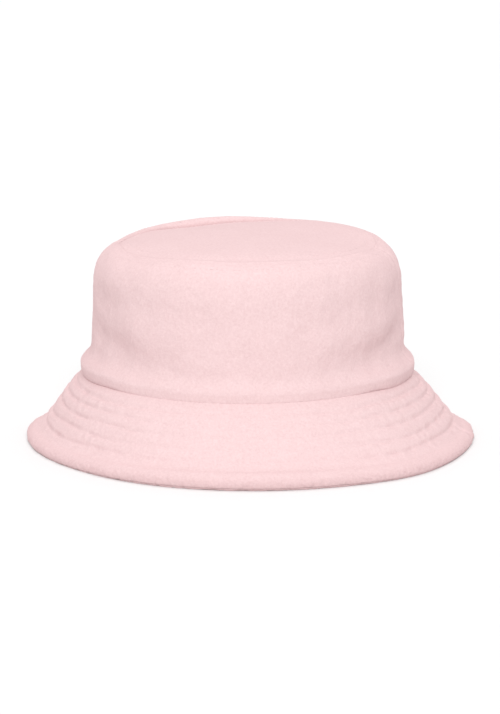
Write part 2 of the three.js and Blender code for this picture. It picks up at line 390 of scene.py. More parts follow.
# How far the crown's top sinks or stands up on each side.
LEFT_DROP = 0.9 * MM
BACK_LEFT_DROP = 0.6 * MM
RIGHT_DROP = 1.2 * MM
BACK_RIGHT_LIFT = 3.9 * MM
DIMPLE = 1.5 * MM  # depth of the dent in the rim on the left
SEAM_WANDER = 0.35 * MM  # how far the tip seam strays up and down
# Depth, size and seed of the crown's random unevenness, coarse and fine.
LUMPS = ((0.16 * MM, 24 * MM, 5), (0.05 * MM, 9 * MM, 6))


def crease(azimuth, z, points, width):
    """1 along a line of (degrees, mm) points on the wall, fading over a width and towards both ends."""
    best = np.full(azimuth.shape, 1e3)
    along = np.zeros(azimuth.shape)
    around = ROLL_RADIUS / MM * math.pi / 180
    count = len(points) - 1
    for i in range(count):
        start, end = points[i], points[i + 1]
        step = np.array([(end[0] - start[0]) * around, end[1] - start[1]])
        u = turned(azimuth, start[0]) * around
        v = z / MM - start[1]
        t = np.clip((u * step[0] + v * step[1]) / (step @ step), 0, 1)
        away = np.hypot(u - t * step[0], v - t * step[1])
        along = np.where(away < best, (i + t) / count, along)
        best = np.minimum(away, best)
    return bell(best, width) * smooth(along, -0.05, 0.3) * (1 - smooth(along, 0.5, 1.1))


def rumple(azimuth, z, size, count, seed):
    """Gentle random unevenness about 1 high, with lumps about this size in metres."""
    random = np.random.RandomState(seed)
    total = np.zeros(azimuth.shape)
    for _ in range(count):
        turn = random.uniform(0, math.pi)
        wave = random.uniform(0.6, 1.4) * 2 * math.pi / size
        around = round(wave * math.cos(turn) * ROLL_RADIUS)
        phase = random.uniform(0, 2 * math.pi)
        total += np.cos(around * azimuth + wave * math.sin(turn) * z + phase)
    return total * math.sqrt(2 / count)


def stand(points):
    """Turns a round hat's points into the real stance: oval, leaning, creased and softly dented."""
    x, y, z = points[:, 0], points[:, 1], points[:, 2]
    radius, azimuth = np.hypot(x, y), np.arctan2(y, x)
    on_crown = smooth(z, SEAM_HEIGHT, SEAM_HEIGHT + 12 * MM) * smooth(radius, 55 * MM, 85 * MM)
    push = np.zeros_like(radius)
    for degrees, height, wide, tall, depth in SWELLS:
        push += depth * MM * bell(turned(azimuth, degrees), wide) * bell(z - height * MM, tall * MM)
    for line, width, depth in CREASES:
        push -= depth * MM * crease(azimuth, z, line, width)
    for depth, size, seed in LUMPS:
        push += depth * rumple(azimuth, z, size, 24, seed)
    on_brim = smooth(radius, SEAM_RADIUS, EDGE_RADIUS)
    corners = bell(turned(azimuth, -48), 15) - 0.3 * bell(turned(azimuth, -140), 14)
    reach = CORNER_REACH * corners
    grow = 1 + (push * on_crown + reach * on_brim) / np.maximum(radius, 1e-6)
    toward_x, toward_y = math.sin(CAMERA_TURN), -math.cos(CAMERA_TURN)
    side_x, side_y = math.cos(CAMERA_TURN), math.sin(CAMERA_TURN)
    forward = x * toward_x + y * toward_y
    across = x * side_x + y * side_y
    side = SKEW * forward * on_brim - LEAN * smooth(z, 2 * MM, 45 * MM)
    side -= BACK_NARROW * across * smooth(-forward, 0, 45 * MM) * on_brim
    short = -BRIM_SHORT * np.maximum(forward, 0) * on_brim
    left = np.clip(-np.cos(azimuth - CAMERA_TURN), 0, 1) ** 2
    right = np.clip(np.cos(azimuth - CAMERA_TURN), 0, 1) ** 3
    on_top = smooth(z, 90 * MM, 116 * MM) * smooth(radius, 20 * MM, 80 * MM)
    drop = LEFT_DROP * left + BACK_LEFT_DROP * bell(turned(azimuth, 150), 26)
    drop += RIGHT_DROP * right - BACK_RIGHT_LIFT * bell(turned(azimuth, 42), 34)
    drop += DIMPLE * bell(turned(azimuth, -156), 11) * bell(radius - 80 * MM, 8 * MM)
    drop *= on_top
    drop += 0.3 * MM * right * bell(z - SEAM_HEIGHT, 14 * MM)
    near_seam = bell(z - TIP_SEAM, 8 * MM) * bell(radius - TIP_RADIUS, 14 * MM)
    drop += SEAM_WANDER * wander(azimuth, 3, 8, 12) * near_seam
    out = np.empty_like(points)
    out[:, 0] = x * grow + side * side_x + short * toward_x
    out[:, 1] = y * grow * DEPTH_RATIO + side * side_y + short * toward_y
    out[:, 2] = z - drop
    return out


# ---------------------------------------------------------------- meshes

def swept(name, azimuth, outer, inner, ring, pile, painted_shade=0.0):
    """A closed shell between an outer and an inner line at each azimuth.

    pile says how full the outer face's pile is, and the last argument how much painted shade darkens the
    outer face along the tip seam and the brim's edge.
    """
    loop = np.concatenate([outer, inner[:, ::-1]], axis=1)
    turns, count = loop.shape[:2]
    way_out = np.stack([np.cos(azimuth), np.sin(azimuth)], axis=1)
    round_hat = np.empty((turns, count, 3))
    round_hat[..., :2] = loop[..., :1] * way_out[:, None, :]
    round_hat[..., 2] = loop[..., 1]
    points = stand(round_hat.reshape(-1, 3))
    i, j = np.meshgrid(np.arange(turns if ring else turns - 1), np.arange(count), indexing="ij")
    next_i, next_j = (i + 1) % turns, (j + 1) % count
    corners = (i * count + j, next_i * count + j, next_i * count + next_j, i * count + next_j)
    faces = np.stack([c.reshape(-1) for c in corners], axis=1).tolist()
    if not ring:
        faces.append(list(range(count - 1, -1, -1)))
        faces.append([(turns - 1) * count + k for k in range(count)])
    mesh = bpy.data.meshes.new(name)
    mesh.from_pydata(points.tolist(), [], faces)
    share = np.zeros((turns, count))
    share[:, : outer.shape[1]] = pile
    # painted shade on the outer face, kept as a share at each point
    painted_shade_share = np.zeros((turns, count))
    painted_shade_share[:, : outer.shape[1]] = painted_shade
    cloth = np.zeros((turns, count, 3))
    cloth[..., 0] = azimuth[:, None] * loop[..., 0].max()
    cloth[..., 1] = lengths_of(loop)
    add_attribute(mesh, "pile", "FLOAT", share.reshape(-1))
    add_attribute(mesh, "painted_shade", "FLOAT", painted_shade_share.reshape(-1))
    add_attribute(mesh, "cloth", "FLOAT_VECTOR", cloth.reshape(-1, 3))
    face_up(mesh)
    return linked(name, mesh)


def face_up(mesh):
    """Merges points in one place, cuts the end faces into triangles and turns every face outwards."""
    work = bmesh.new()
    work.from_mesh(mesh)
    bmesh.ops.remove_doubles(work, verts=work.verts, dist=0.001 * MM)
    bmesh.ops.triangulate(work, faces=[f for f in work.faces if len(f.verts) > 4])
    bmesh.ops.recalc_face_normals(work, faces=work.faces)
    work.to_mesh(mesh)
    work.free()
    mesh.shade_smooth()


def add_attribute(mesh, name, kind, values):
    attribute = mesh.attributes.new(name, kind, "POINT")
    field = "value" if kind == "FLOAT" else "vector"
    attribute.data.foreach_set(field, np.asarray(values, np.float32).ravel())


def linked(name, mesh):
    piece = bpy.data.objects.new(name, mesh)
    bpy.context.scene.collection.objects.link(piece)
    return piece


def fade(line, near, far):
    """1 over a line's middle and 0 at its ends, rising over near and falling over far."""
    length = lengths_of(line)
    return smooth(length, 0, near) * smooth(length[:, -1:] - length, 0, far)


def painted_shade_at_tip(azimuth, away, width):
    """Painted shade at a distance from the tip seam, strongest at the back, where the seam's groove lies
    in shade.
    """
    return bell(turned(azimuth, 105), 60)[:, None] * bell(away, width)


def side_seam(azimuth, radius):
    """How a panel's cloth dips into the side seams at its two ends, and swells beside them."""
    away = np.minimum(azimuth - azimuth[0], azimuth[-1] - azimuth) * radius
    return SEAM_SWELL * bell(away - 5 * MM, 3.5 * MM) - SEAM_DIP * bell(away, 1.3 * MM)


def half_turn(front, radius, spacing=SPACING):
    """Azimuths of a front or back panel, from one side seam to the other."""
    first = -math.pi if front else 0.0
    trim = GAP / 2 / radius
    return np.linspace(first + trim, first + math.pi - trim, int(math.pi * radius / spacing))


def full_turn(radius, spacing=SPACING):
    return np.linspace(0, 2 * math.pi, int(2 * math.pi * radius / spacing), endpoint=False)


# ---------------------------------------------------------------- geometry nodes

def new_tree(name, sockets):
    """An empty Geometry Nodes tree with a geometry in and out and named inputs, and its input node."""
    tree = bpy.data.node_groups.new(name, "GeometryNodeTree")
    face = tree.interface
    face.new_socket("Geometry", in_out="INPUT", socket_type="NodeSocketGeometry")
    face.new_socket("Geometry", in_out="OUTPUT", socket_type="NodeSocketGeometry")
    for label, kind, value in sockets:
        socket = face.new_socket(label, in_out="INPUT", socket_type=kind)
        if value is not None:
            socket.default_value = value
    start = tree.nodes.new("NodeGroupInput")
    return tree, start


def node(tree, kind, settings=None, **inputs):
    """Adds a node, sets its settings, and links or sets its inputs by name, or by number as i0, i1."""
    made = tree.nodes.new(kind)
    for key, value in (settings or {}).items():
        setattr(made, key, value)
    for key, value in inputs.items():
        index = int(key[1:]) if key[0] == "i" and key[1:].isdigit() else None
        label = key.replace("_", " ")
        socket = made.inputs[index] if index is not None else made.inputs[label]
        if isinstance(value, bpy.types.NodeSocket):
            tree.links.new(value, socket)
        else:
            socket.default_value = value
    return made


def maths(tree, operation, *values):
    numbered = {f"i{i}": value for i, value in enumerate(values)}
    return node(tree, "ShaderNodeMath", {"operation": operation}, **numbered).outputs[0]


def stored(tree, kind, name):
    """A value that the mesh keeps at each of its points."""
    return node(tree, "GeometryNodeInputNamedAttribute", {"data_type": kind}, Name=name).outputs[0]


def finish_tree(tree, geometry, material):
    real = node(tree, "GeometryNodeRealizeInstances", i0=geometry)
    dressed = node(tree, "GeometryNodeSetMaterial", i0=real.outputs[0], Material=material)
    end = tree.nodes.new("NodeGroupOutput")
    tree.links.new(dressed.outputs[0], end.inputs[0])
    return tree


def make_pile_tree():
    """Raises a face along its normals into small soft loops of pile with larger clumps among them."""
    tree, start = new_tree(
        "towelling_pile",
        (
            ("Loop Size", "NodeSocketFloat", 1.5 * MM),
            ("Loop Height", "NodeSocketFloat", 0.16 * MM),
            ("Clump Size", "NodeSocketFloat", 6.0 * MM),
            ("Clump Height", "NodeSocketFloat", 0.12 * MM),
            ("Seed", "NodeSocketFloat", 1.0),
            ("Material", "NodeSocketMaterial", None),
        ),
    )
    pile = stored(tree, "FLOAT", "pile")
    place = node(tree, "GeometryNodeInputPosition").outputs[0]
    normal = node(tree, "GeometryNodeInputNormal").outputs[0]
    heights = []
    for label, detail, roughness in (("Loop", 1.5, 0.6), ("Clump", 1.0, 0.5)):
        noise = node(tree, "ShaderNodeTexNoise", {"noise_dimensions": "4D"}, Vector=place, Detail=detail,
                     Roughness=roughness, W=start.outputs["Seed"],
                     Scale=maths(tree, "DIVIDE", 1.0, start.outputs[label + " Size"]))
        even = maths(tree, "SUBTRACT", noise.outputs[0], 0.5)
        heights.append(maths(tree, "MULTIPLY", even, start.outputs[label + " Height"]))
    both = maths(tree, "MULTIPLY", maths(tree, "ADD", *heights), 2.0)
    raised = node(tree, "ShaderNodeVectorMath", {"operation": "SCALE"}, i0=normal,
                  Scale=maths(tree, "MULTIPLY", both, pile))
    moved = node(tree, "GeometryNodeSetPosition", i0=start.outputs["Geometry"], Offset=raised.outputs[0])
    return finish_tree(tree, moved.outputs[0], start.outputs["Material"])


def make_stitch_tree():
    """Sews stitches along the guide line, each a short arc of thread that lies on the cloth."""
    tree, start = new_tree(
        "stitch_row",
        (
            ("Pitch", "NodeSocketFloat", 3.2 * MM),
            ("Stitch Length", "NodeSocketFloat", 2.7 * MM),
            ("Thread Radius", "NodeSocketFloat", 0.2 * MM),
            ("Rise", "NodeSocketFloat", 0.25 * MM),
            ("Seed", "NodeSocketInt", 1),
            ("Material", "NodeSocketMaterial", None),
        ),
    )
    line = node(tree, "GeometryNodeMeshToCurve", i0=start.outputs["Geometry"])
    spots = node(tree, "GeometryNodeResampleCurve", {"mode": "LENGTH"}, i0=line.outputs[0],
                 Length=start.outputs["Pitch"])
    tangent = node(tree, "GeometryNodeInputTangent").outputs[0]
    out = stored(tree, "FLOAT_VECTOR", "out")
    along = node(tree, "FunctionNodeAlignRotationToVector", {"axis": "X"}, Vector=tangent)
    upright = node(tree, "FunctionNodeAlignRotationToVector", {"axis": "Z", "pivot_axis": "X"},
                   Rotation=along.outputs[0], Vector=out)
    skew = node(tree, "FunctionNodeRandomValue", {"data_type": "FLOAT"}, Seed=start.outputs["Seed"])
    skew.inputs[2].default_value = -0.05
    skew.inputs[3].default_value = 0.05
    yaw = node(tree, "FunctionNodeAxisAngleToRotation", Axis=(0.0, 0.0, 1.0), Angle=skew.outputs[1])
    turn = node(tree, "FunctionNodeRotateRotation", {"rotation_space": "LOCAL"},
                Rotation=upright.outputs[0], i1=yaw.outputs[0])
    half = maths(tree, "MULTIPLY", start.outputs["Stitch Length"], 0.5)
    rise = start.outputs["Rise"]
    ends = []
    for sign in (-1.0, 1.0):
        spot = node(tree, "ShaderNodeCombineXYZ", X=maths(tree, "MULTIPLY", half, sign),
                    Z=maths(tree, "MULTIPLY", rise, -1.0))
        ends.append(spot.outputs[0])
    crest = node(tree, "ShaderNodeCombineXYZ", Z=rise).outputs[0]
    arc = node(tree, "GeometryNodeCurveQuadraticBezier", Resolution=4, Start=ends[0], Middle=crest,
               End=ends[1])
    section = node(tree, "GeometryNodeCurvePrimitiveCircle", Resolution=5,
                   Radius=start.outputs["Thread Radius"])
    thread = node(tree, "GeometryNodeCurveToMesh", i0=arc.outputs[0], Profile_Curve=section.outputs[0],
                  Fill_Caps=True)
    sewn = node(tree, "GeometryNodeInstanceOnPoints", i0=spots.outputs[0], Instance=thread.outputs[0],
                Rotation=turn.outputs[0])
    soft = node(tree, "GeometryNodeSetShadeSmooth", i0=sewn.outputs[0])
    return finish_tree(tree, soft.outputs[0], start.outputs["Material"])


def worked(piece, tree, **values):
    """Gives a piece the plain mesh that a tree makes of it, with these values of the tree's inputs."""
    modifier = piece.modifiers.new(tree.name, "NODES")
    modifier.node_group = tree
    idents = {s.name: s.identifier for s in tree.interface.items_tree if s.in_out == "INPUT"}
    for label, value in values.items():
        modifier[idents[label.replace("_", " ")]] = value
    bpy.context.view_layer.update()
    evaluated = piece.evaluated_get(bpy.context.evaluated_depsgraph_get())
    mesh = bpy.data.meshes.new_from_object(evaluated)
    piece.modifiers.remove(modifier)
    piece.data = mesh
    return piece


# ---------------------------------------------------------------- materials

def new_material(name):
    material = bpy.data.materials.new(name)
    material.use_nodes = True
    tree = material.node_tree
    shader = tree.nodes["Principled BSDF"]
    return material, tree, shader


def shader_group(name, inputs, outputs):
    """An empty shader group with named sockets, its first input node and its output node."""
    tree = bpy.data.node_groups.new(name, "ShaderNodeTree")
    for label, kind, value in inputs:
        socket = tree.interface.new_socket(label, in_out="INPUT", socket_type=kind)
        if value is not None:
            socket.default_value = value
    for label, kind in outputs:
        tree.interface.new_socket(label, in_out="OUTPUT", socket_type=kind)
    return tree, tree.nodes.new("NodeGroupInput"), tree.nodes.new("NodeGroupOutput")


def blend_colours(tree, share, deep, tip, target):
    """Leads a mix of two colours to a socket."""
    settings = {"data_type": "RGBA", "clamp_factor": False}
    mix = node(tree, "ShaderNodeMix", settings, Factor=share, i6=deep, i7=tip)
    tree.links.new(mix.outputs[2], target)


def grouped(tree, group, deep, tip):
    """Adds a shared effect to a material and sets the two colours that it works between."""
    made = tree.nodes.new("ShaderNodeGroup")
    made.node_tree = group
    made.inputs["Deep"].default_value = deep
    made.inputs["Tip"].default_value = tip
    return made


def noise_on(tree, place, scale, detail, roughness):
    return node(tree, "ShaderNodeTexNoise", Vector=place, Scale=scale, Detail=detail,
                Roughness=roughness).outputs[0]


def weighed(tree, first, first_share, second, second_share):
    """The sum of two values, each times its share."""
    return maths(tree, "ADD", maths(tree, "MULTIPLY", first, first_share),
                 maths(tree, "MULTIPLY", second, second_share))


def make_pile_group():
    """Colour and height of brushed pile: fibres, loops and broad brushed patches, with painted shade
    towards the deep colour where a piece asks for it.
    """
    tree, start, end = shader_group(
        "brushed_pile",
        (
            ("Deep", "NodeSocketColor", None),
            ("Tip", "NodeSocketColor", None),
            ("Loop Scale", "NodeSocketFloat", 700.0),
            ("Patchiness", "NodeSocketFloat", 0.12),
        ),
        (("Colour", "NodeSocketColor"), ("Height", "NodeSocketFloat")),
    )
    place = node(tree, "ShaderNodeTexCoord").outputs["Object"]
    loop_scale = start.outputs["Loop Scale"]
    fibre_scale = maths(tree, "MULTIPLY", loop_scale, 3.1)
    loops = noise_on(tree, place, loop_scale, 3.0, 0.65)
    fibres = noise_on(tree, place, fibre_scale, 2.0, 0.6)
    patches = noise_on(tree, place, 60.0, 3.0, 0.55)
    height = weighed(tree, loops, 0.65, fibres, 0.35)
    patchy = maths(tree, "MULTIPLY", maths(tree, "SUBTRACT", patches, 0.5), start.outputs["Patchiness"])
    shade = maths(tree, "ADD", height, patchy)
    spread = node(tree, "ShaderNodeMapRange", Value=shade)
    spread.inputs["From Min"].default_value = 0.3
    spread.inputs["From Max"].default_value = 0.7
    # painted shade: a stored share that pulls the colour to the deep colour and below it
    painted_shade = node(tree, "ShaderNodeAttribute", {"attribute_name": "painted_shade"}).outputs["Fac"]
    share = maths(tree, "SUBTRACT", spread.outputs[0], maths(tree, "MULTIPLY", painted_shade, 1.1))
    blend_colours(tree, share, start.outputs["Deep"], start.outputs["Tip"], end.inputs["Colour"])
    tree.links.new(height, end.inputs["Height"])
    return tree


def bumped(tree, shader, height, strength, distance):
    bump = node(tree, "ShaderNodeBump", Height=height, Strength=strength, Distance=distance)
    tree.links.new(bump.outputs[0], shader.inputs["Normal"])


def make_towelling(group, name, deep, tip):
    """Brushed towelling: matt, with a faint sheen of its own colour at grazing angles."""
    material, tree, shader = new_material(name)
    pile = grouped(tree, group, deep, tip)
    tree.links.new(pile.outputs["Colour"], shader.inputs["Base Color"])
    shader.inputs["Roughness"].default_value = 1.0
    shader.inputs["Specular IOR Level"].default_value = 0.15
    shader.inputs["Sheen Weight"].default_value = 0.2
    shader.inputs["Sheen Roughness"].default_value = 0.6
    shader.inputs["Sheen Tint"].default_value = (1.0, 0.68, 0.7, 1.0)
    bumped(tree, shader, pile.outputs["Height"], 0.5, 0.6 * MM)
    return material


def make_weave_group():
    """Colour and height of a fine plain weave with slubs, whose threads follow the piece's own cloth."""
    tree, start, end = shader_group(
        "plain_weave",
        (
            ("Deep", "NodeSocketColor", None),
            ("Tip", "NodeSocketColor", None),
            ("Thread Scale", "NodeSocketFloat", 100.0),
        ),
        (("Colour", "NodeSocketColor"), ("Height", "NodeSocketFloat")),
    )
    place = node(tree, "ShaderNodeAttribute", {"attribute_name": "cloth"}).outputs["Vector"]
    threads = []
    for direction in ("X", "Y"):
        wave = node(tree, "ShaderNodeTexWave", {"bands_direction": direction}, Vector=place,
                    Scale=start.outputs["Thread Scale"], Distortion=0.4, Detail=1.0)
        threads.append(wave.outputs[1])
    height = maths(tree, "MULTIPLY", *threads)
    slubs = noise_on(tree, place, 180.0, 3.0, 0.5)
    shade = weighed(tree, height, 0.6, slubs, 0.4)
    blend_colours(tree, shade, start.outputs["Deep"], start.outputs["Tip"], end.inputs["Colour"])
    tree.links.new(height, end.inputs["Height"])
    return tree


def make_woven(group, name, deep, tip, thread_scale, roughness, sheen):
    material, tree, shader = new_material(name)
    weave = grouped(tree, group, deep, tip)
    weave.inputs["Thread Scale"].default_value = thread_scale
    tree.links.new(weave.outputs["Colour"], shader.inputs["Base Color"])
    shader.inputs["Roughness"].default_value = roughness
    shader.inputs["Sheen Weight"].default_value = sheen
    bumped(tree, shader, weave.outputs["Height"], 0.4, 0.2 * MM)
    return material


def make_thread(name, deep, tip):
    """Spun thread: short hairy fibres on Object coordinates, with a low soft gloss."""
    material, tree, shader = new_material(name)
    place = node(tree, "ShaderNodeTexCoord").outputs["Object"]
    fibres = noise_on(tree, place, 2600.0, 2.0, 0.5)
    blend_colours(tree, fibres, deep, tip, shader.inputs["Base Color"])
    shader.inputs["Roughness"].default_value = 0.6
    bumped(tree, shader, fibres, 0.4, 0.1 * MM)
    return material


PILE_GROUP = make_pile_group()
WEAVE_GROUP = make_weave_group()
TOWELLING = make_towelling(
    PILE_GROUP,
    "pink_towelling",
    deep=(0.665, 0.476, 0.48, 1.0),
    tip=(0.76, 0.578, 0.582, 1.0),
)
LINING = make_woven(
    WEAVE_GROUP,
    "pink_lining",
    deep=(0.60, 0.42, 0.44, 1.0),
    tip=(0.72, 0.54, 0.55, 1.0),
    thread_scale=100.0,
    roughness=0.85,
    sheen=0.1,
)
INTERLINING = make_woven(
    WEAVE_GROUP,
    "white_interlining",
    deep=(0.7, 0.68, 0.66, 1.0),
    tip=(0.85, 0.84, 0.82, 1.0),
    thread_scale=75.0,
    roughness=0.9,
    sheen=0.0,
)
SATIN = make_woven(
    WEAVE_GROUP,
    "white_satin",
    deep=(0.78, 0.77, 0.76, 1.0),
    tip=(0.9, 0.9, 0.89, 1.0),
    thread_scale=150.0,
    roughness=0.4,
    sheen=0.1,
)
THREAD = make_thread("pink_thread", deep=(0.69, 0.5, 0.505, 1.0), tip=(0.78, 0.6, 0.605, 1.0))

PILE_TREE = make_pile_tree()
STITCH_TREE = make_stitch_tree()


# ---------------------------------------------------------------- pieces

def placed(piece, nodes):
    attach(piece, "root")
    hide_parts(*nodes)
    return piece


def piled(piece, seed):
    return worked(piece, PILE_TREE, Seed=float(seed), Material=TOWELLING)


def thinned(inner):
    """An inner line with fewer points, as nobody sees it, that still ends where it did."""
    return np.concatenate([inner[:, ::INNER_STEP], inner[:, -1:]], axis=1)


def make_wall(front):
    radius = SEAM_RADIUS
    azimuth = half_turn(front, radius)
    outer = wall_line(azimuth)
    outer = outer - normals_of(outer) * side_seam(azimuth, radius)[:, None, None]
    inner = thinned(offset(wall_line(azimuth), CLOTH))
    name = "crown_side_" + ("front" if front else "back")
    length = lengths_of(outer)
    # painted shade along the groove of the tip seam, darkest at the back
    painted_shade = painted_shade_at_tip(azimuth, length[:, -1:] - length, 2.4 * MM)
    pile = fade(outer, 3 * MM, 0.5 * MM)
    piece = swept(name + "_cloth", azimuth, outer, inner, False, pile, painted_shade)
    piece = piled(piece, 1 if front else 2)
    placed(piece, [name])


def make_tip():
    """The round top panel, whose lines all end in one point at its middle."""
    azimuth = full_turn(TIP_RADIUS, SPACING * 1.1)
    outer = tip_line(azimuth)
    inner = thinned(offset(outer, CLOTH))
    outer[:, -1, 0] = 0.0
    inner[:, -1, 0] = 0.0
    # painted shade along the groove of the tip seam, darkest at the back
    painted_shade = painted_shade_at_tip(azimuth, lengths_of(outer), 1.3 * MM)
    pile = fade(outer, 0.5 * MM, 0.1 * MM)
    piece = swept("crown_tip_cloth", azimuth, outer, inner, True, pile, painted_shade)
    piece = piled(piece, 3)
    placed(piece, ["crown_tip"])


def make_brim_ply(front, side):
    """Half the brim's upper cloth (side 1) or under cloth (side -1). The two meet along the edge."""
    upper = side > 0
    spacing = SPACING if upper else SPACING * 1.4
    azimuth = half_turn(front, EDGE_RADIUS, spacing)
    rows = int(55 * MM / spacing)
    shares = np.linspace(0, 1, rows)
    middle = brim_middle(azimuth, shares)
    way = normals_of(middle)
    puff = channels(azimuth, shares, 40 if upper else 60) * (1.0 if upper else 0.8)
    dip = side_seam(azimuth, SEAM_RADIUS * 1.2)
    half = brim_half(azimuth, shares)
    outer = middle + way * side * (half + puff + dip[:, None])[..., None]
    inner = middle + way * side * (half - CLOTH)[..., None]
    last = way[:, -1]
    start_angle = np.arctan2(last[:, 1], last[:, 0]) + (0 if upper else math.pi)
    sweep = -side * (math.pi / 2 - EDGE_SEAM_ANGLE)
    angle = start_angle[:, None] + sweep * np.linspace(0, 1, 9 if upper else 7)[1:]
    ring = np.stack([np.cos(angle), np.sin(angle)], axis=-1)
    full = edge_half(azimuth)
    full_outer = full + puff[:, -1] + dip
    edge_outer = middle[:, -1:] + ring * full_outer[:, None, None]
    edge_inner = middle[:, -1:] + ring * (full - CLOTH)[:, None, None]
    outer = np.concatenate([outer, edge_outer], axis=1)
    inner = np.concatenate([thinned(inner), edge_inner[:, 1::2]], axis=1)
    name = ("brim_top_" if upper else "brim_under_") + ("front" if front else "back")
    length = lengths_of(outer)
    near_edge = smooth(length, length[:, -1:] - 9 * MM, length[:, -1:] - 3 * MM)
    pile = fade(outer, 2 * MM, 0.7 * MM) * (1 + 4.0 * near_edge)
    # the 0.42 share over the last millimetres is painted shade on the turned edge, where it rolls under
    piece = swept(name + "_cloth", azimuth, outer, inner, False, pile, 0.42 * near_edge)
    piece = piled(piece, 10 + side + (4 if front else 0))
    settle_on_floor(piece)
    placed(piece, [name])


def settle_on_floor(piece):
    """Flattens what would reach into the table."""
    co = np.empty(len(piece.data.vertices) * 3, np.float32)
    piece.data.vertices.foreach_get("co", co)
    co = co.reshape(-1, 3)
    co[:, 2] = np.maximum(co[:, 2], TABLE_GAP)
    piece.data.vertices.foreach_set("co", co.ravel())
    piece.data.update()


def guide(name, points, outs):
    """A closed line of edges for stitches to follow, with the way out of the cloth at each point."""
    count = len(points)
    mesh = bpy.data.meshes.new(name)
    mesh.from_pydata(points.tolist(), [(i, (i + 1) % count) for i in range(count)], [])
    add_attribute(mesh, "out", "FLOAT_VECTOR", outs)
    return mesh


def row_on(azimuth, spots, ways):
    """Points and outward directions of a row in space, from its place and direction at each azimuth."""
    around = np.stack([np.cos(azimuth), np.sin(azimuth)], axis=1)
    points = np.concatenate([spots[:, :1] * around, spots[:, 1:]], axis=1)
    outs = np.concatenate([ways[:, :1] * around, ways[:, 1:]], axis=1)
    return stand(points), outs


def sew(name, rows, seed):
    """One piece of all the stitches of a row, on each face of the cloth that shows them."""
    made = []
    for k, (points, outs) in enumerate(rows):
        piece = linked(name + "_part", guide(name, points, outs))
        made.append(worked(piece, STITCH_TREE, Seed=seed + k, Material=THREAD))
    joined = bmesh.new()
    for piece in made:
        joined.from_mesh(piece.data)
        bpy.data.objects.remove(piece)
    mesh = bpy.data.meshes.new(name + "_thread")
    joined.to_mesh(mesh)
    joined.free()
    mesh.materials.append(THREAD)
    mesh.shade_smooth()
    piece = linked(name + "_thread", mesh)
    return placed(piece, [name])


def make_brim_rows():
    azimuth = np.linspace(0, 2 * math.pi, 400, endpoint=False)
    for i, share in enumerate(ROW_SHARES):
        shares = np.array([share - 0.01, share, share + 0.01])
        middle = brim_middle(azimuth, shares)
        way = normals_of(middle)[:, 1]
        rows = []
        for side, seed, soft in ((1, 40, 1.0), (-1, 60, 0.8)):
            puff = channels(azimuth, shares, seed)[:, 1] * soft
            spot = middle[:, 1] + way * side * (BRIM_HALF + puff - THREAD_LIFT)[:, None]
            rows.append(row_on(azimuth, spot, way * side))
        sew(f"brim_stitch_row_{i + 1}", rows, 100 + 2 * i)


def make_tip_rows():
    azimuth = np.linspace(0, 2 * math.pi, 300, endpoint=False)
    each = np.arange(len(azimuth))
    sag = 2.5 * MM * bell(turned(azimuth, -102), 30)
    lower = TIP_ROW_GAP + sag + TIP_ROW_WANDER * wander(azimuth, 2, 7, 31)
    upper = TIP_ROW_GAP + TIP_ROW_WANDER * wander(azimuth, 2, 6, 32)
    for name, line, away, outward in (
        ("tip_stitch_upper", tip_line(azimuth), upper, -1),
        ("tip_stitch_lower", wall_line(azimuth)[:, ::-1], lower, 1),
    ):
        index = np.argmin(np.abs(lengths_of(line) - away[:, None]), axis=1)
        way = normals_of(line)[each, index] * outward
        spot = line[each, index] + way * THREAD_LIFT
        sew(name, [row_on(azimuth, spot, way)], 150)


def wall_radius(azimuth, heights):
    """Radius of the wall's outer face at these heights, between the roll and the shoulder."""
    line = wall_line(azimuth)[:, 20:]
    return np.array([np.interp(heights, row[:, 1], row[:, 0]) for row in line])


def lining_shell(name, azimuth, line, thickness, ring, material):
    """A piece of smooth cloth inwards of the line that is given, with its top edge folded round."""
    inner = offset(line, thickness)
    way = normals_of(line)[:, -1]
    along = np.stack([way[:, 1], -way[:, 0]], axis=-1)
    half = thickness / 2
    middle = line[:, -1] + way * half
    turns = np.linspace(0, math.pi, 6)[1:-1]
    fold = [middle - way * math.cos(turn) * half + along * math.sin(turn) * half for turn in turns]
    outer = np.concatenate([line] + [f[:, None] for f in fold], axis=1)
    piece = swept(name, azimuth, outer, inner, ring, 0.0)
    piece.data.materials.append(material)
    return piece


def part_turn(middle, width, radius, spacing):
    """Azimuths over a width of cloth, about a middle azimuth."""
    half = width / 2 / radius
    return np.linspace(middle - half, middle + half, max(int(width / spacing), 6))


def band_line(azimuth):
    """Outer face of the sweatband, from under the brim seam up to its folded top edge."""
    one = np.ones_like(azimuth)
    heights = np.linspace(WALL_FOOT + ROLL_HEIGHT, BAND_TOP - 0.9 * MM, 10)
    upper_radius = wall_radius(azimuth, heights) - CLOTH - 0.4 * MM
    upper = np.stack([upper_radius, np.broadcast_to(heights, upper_radius.shape)], axis=-1)
    foot = SEAM_RADIUS - BAND_INSET
    lower = bezier(
        (foot * one, (SEAM_HEIGHT - 2.9 * MM) * one),
        (foot * one, (SEAM_HEIGHT + 6 * MM) * one),
        (upper_radius[:, 0], heights[0] - 8 * MM),
        (upper_radius[:, 0], heights[0] * one),
        24,
    )
    return chain(lower, upper)


def make_sweatband():
    azimuth = np.linspace(math.pi / 2 + 0.001, 2.5 * math.pi - 0.001, 700)
    line = band_line(azimuth)
    piece = lining_shell("sweatband_cloth", azimuth, line, BAND_THICKNESS, False, LINING)
    placed(piece, ["sweatband"])


def make_tip_tape():
    azimuth = full_turn(TIP_RADIUS, 1.2 * MM)
    below = np.linspace(TAPE_CUT, 3.0 * MM, 12)
    heights = (seam_height(azimuth) - groove(azimuth))[:, None] - below
    radius = (TIP_RADIUS + 1.2 * MM) * np.ones_like(heights)
    line = np.stack([radius, heights], axis=-1)
    piece = lining_shell("tip_seam_tape_cloth", azimuth, line, TAPE_THICKNESS, True, LINING)
    placed(piece, ["tip_seam_tape"])


